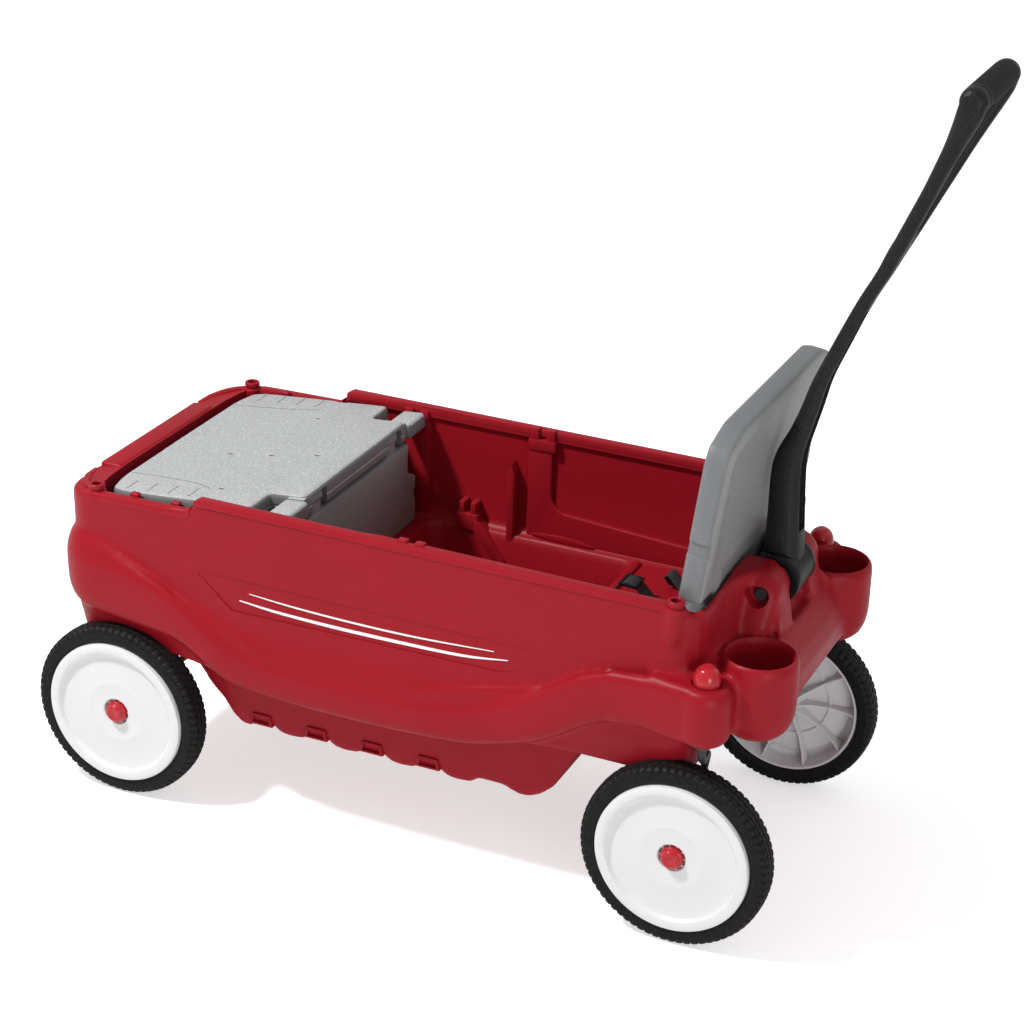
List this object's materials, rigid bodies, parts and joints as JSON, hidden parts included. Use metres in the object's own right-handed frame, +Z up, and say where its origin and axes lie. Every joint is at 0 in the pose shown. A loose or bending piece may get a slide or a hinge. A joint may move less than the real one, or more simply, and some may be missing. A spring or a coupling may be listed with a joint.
{
  "type": "kids pull wagon",
  "caption": "Red moulded child's pull wagon with a lidded rear bench, a folding front seat back, swivelling front wheels, corner cup holders and a pivoting loop handle.",
  "frame": {"origin": "middle of the footprint, on the ground", "axes": "+X forwards to the pull handle, +Y to the wagon's left, +Z up"},
  "size_m": [1.206, 0.514, 1.112],
  "materials": {
    "red_plastic": "satin moulded plastic with a fine grain",
    "red_trim": "glossy moulded plastic",
    "grey_plastic": "speckled satin plastic",
    "black_plastic": "textured plastic",
    "grip_rubber": "soft textured grip",
    "white_plastic": "satin moulded plastic",
    "tyre": "moulded tread",
    "black_steel": "black coated rod",
    "zinc_steel": "zinc plated",
    "webbing": "woven belt"
  },
  "bodies": {
    "wagon_body": {"body_shell": "red_plastic", "rear_axle": "black_steel", "handle_bolt": "black_steel", "handle_nut": "black_steel", "rear_hub_cap_left": "red_trim", "rear_washer_left": "zinc_steel", "kingpin_bushes_left": "black_plastic", "front_belt_left": "webbing", "rear_belt_left": "webbing", "rear_hub_cap_right": "red_trim", "rear_washer_right": "zinc_steel", "kingpin_bushes_right": "black_plastic", "front_belt_right": "webbing", "rear_belt_right": "webbing", "front_buckles": "black_plastic", "rear_buckles": "black_plastic", "front_belt_screws": "zinc_steel", "rear_belt_screws": "zinc_steel"},
    "rear_wheel_left": {"rear_wheel_left": "white_plastic", "rear_tyre_left": "tyre"},
    "caster_left": {"caster_rod_left": "black_steel", "kingpin_collar_left": "black_steel", "kingpin_dome_left": "red_trim", "front_washer_left": "zinc_steel", "front_hub_cap_left": "red_trim"},
    "front_wheel_left": {"front_wheel_left": "white_plastic", "front_tyre_left": "tyre"},
    "rear_wheel_right": {"rear_wheel_right": "white_plastic", "rear_tyre_right": "tyre"},
    "caster_right": {"caster_rod_right": "black_steel", "kingpin_collar_right": "black_steel", "kingpin_dome_right": "red_trim", "front_washer_right": "zinc_steel", "front_hub_cap_right": "red_trim"},
    "front_wheel_right": {"front_wheel_right": "white_plastic", "front_tyre_right": "tyre"},
    "handle": {"handle_frame": "black_plastic", "handle_grip": "grip_rubber", "barrel_bushes": "black_plastic"},
    "rear_lid": {"rear_seat_panel": "grey_plastic", "rear_hinge_rod": "zinc_steel"},
    "rear_leg": {"rear_seat_leg": "grey_plastic"},
    "front_back": {"front_seat_panel": "grey_plastic", "front_hinge_rod": "zinc_steel"},
    "front_leg": {"front_seat_leg": "grey_plastic"}
  },
  "joints": [
    {"name": "rear_left_spin", "type": "hinge", "parent": "wagon_body", "child": "rear_wheel_left", "pos_m": [-0.476, 0.222, 0.127], "axis": [0, 1, 0], "continuous": true},
    {"name": "caster_left_swivel", "type": "hinge", "parent": "wagon_body", "child": "caster_left", "pos_m": [0.37, 0.223, 0.3], "axis": [0, 0, 1], "continuous": true},
    {"name": "front_left_spin", "type": "hinge", "parent": "caster_left", "child": "front_wheel_left", "pos_m": [0.344, 0.222, 0.127], "axis": [0, 1, 0], "continuous": true},
    {"name": "rear_right_spin", "type": "hinge", "parent": "wagon_body", "child": "rear_wheel_right", "pos_m": [-0.476, -0.222, 0.127], "axis": [0, 1, 0], "continuous": true},
    {"name": "caster_right_swivel", "type": "hinge", "parent": "wagon_body", "child": "caster_right", "pos_m": [0.37, -0.223, 0.3], "axis": [0, 0, 1], "continuous": true},
    {"name": "front_right_spin", "type": "hinge", "parent": "caster_right", "child": "front_wheel_right", "pos_m": [0.344, -0.222, 0.127], "axis": [0, 1, 0], "continuous": true},
    {"name": "handle_pivot", "type": "hinge", "parent": "wagon_body", "child": "handle", "pos_m": [0.386, 0, 0.438], "axis": [0, 1, 0], "range_deg": [0, 100]},
    {"name": "rear_lid_lift", "type": "hinge", "parent": "wagon_body", "child": "rear_lid", "pos_m": [-0.238, 0, 0.45], "axis": [0, 1, 0], "range_deg": [0, 90]},
    {"name": "rear_leg_swing", "type": "hinge", "parent": "wagon_body", "child": "rear_leg", "pos_m": [-0.238, 0, 0.45], "axis": [0, 1, 0], "range_deg": [0, 42]},
    {"name": "front_back_fold", "type": "hinge", "parent": "wagon_body", "child": "front_back", "pos_m": [0.324, 0, 0.424], "axis": [0, 1, 0], "range_deg": [-97, 0]},
    {"name": "front_leg_swing", "type": "hinge", "parent": "wagon_body", "child": "front_leg", "pos_m": [0.324, 0, 0.424], "axis": [0, 1, 0], "range_deg": [0, 40]}
  ]
}
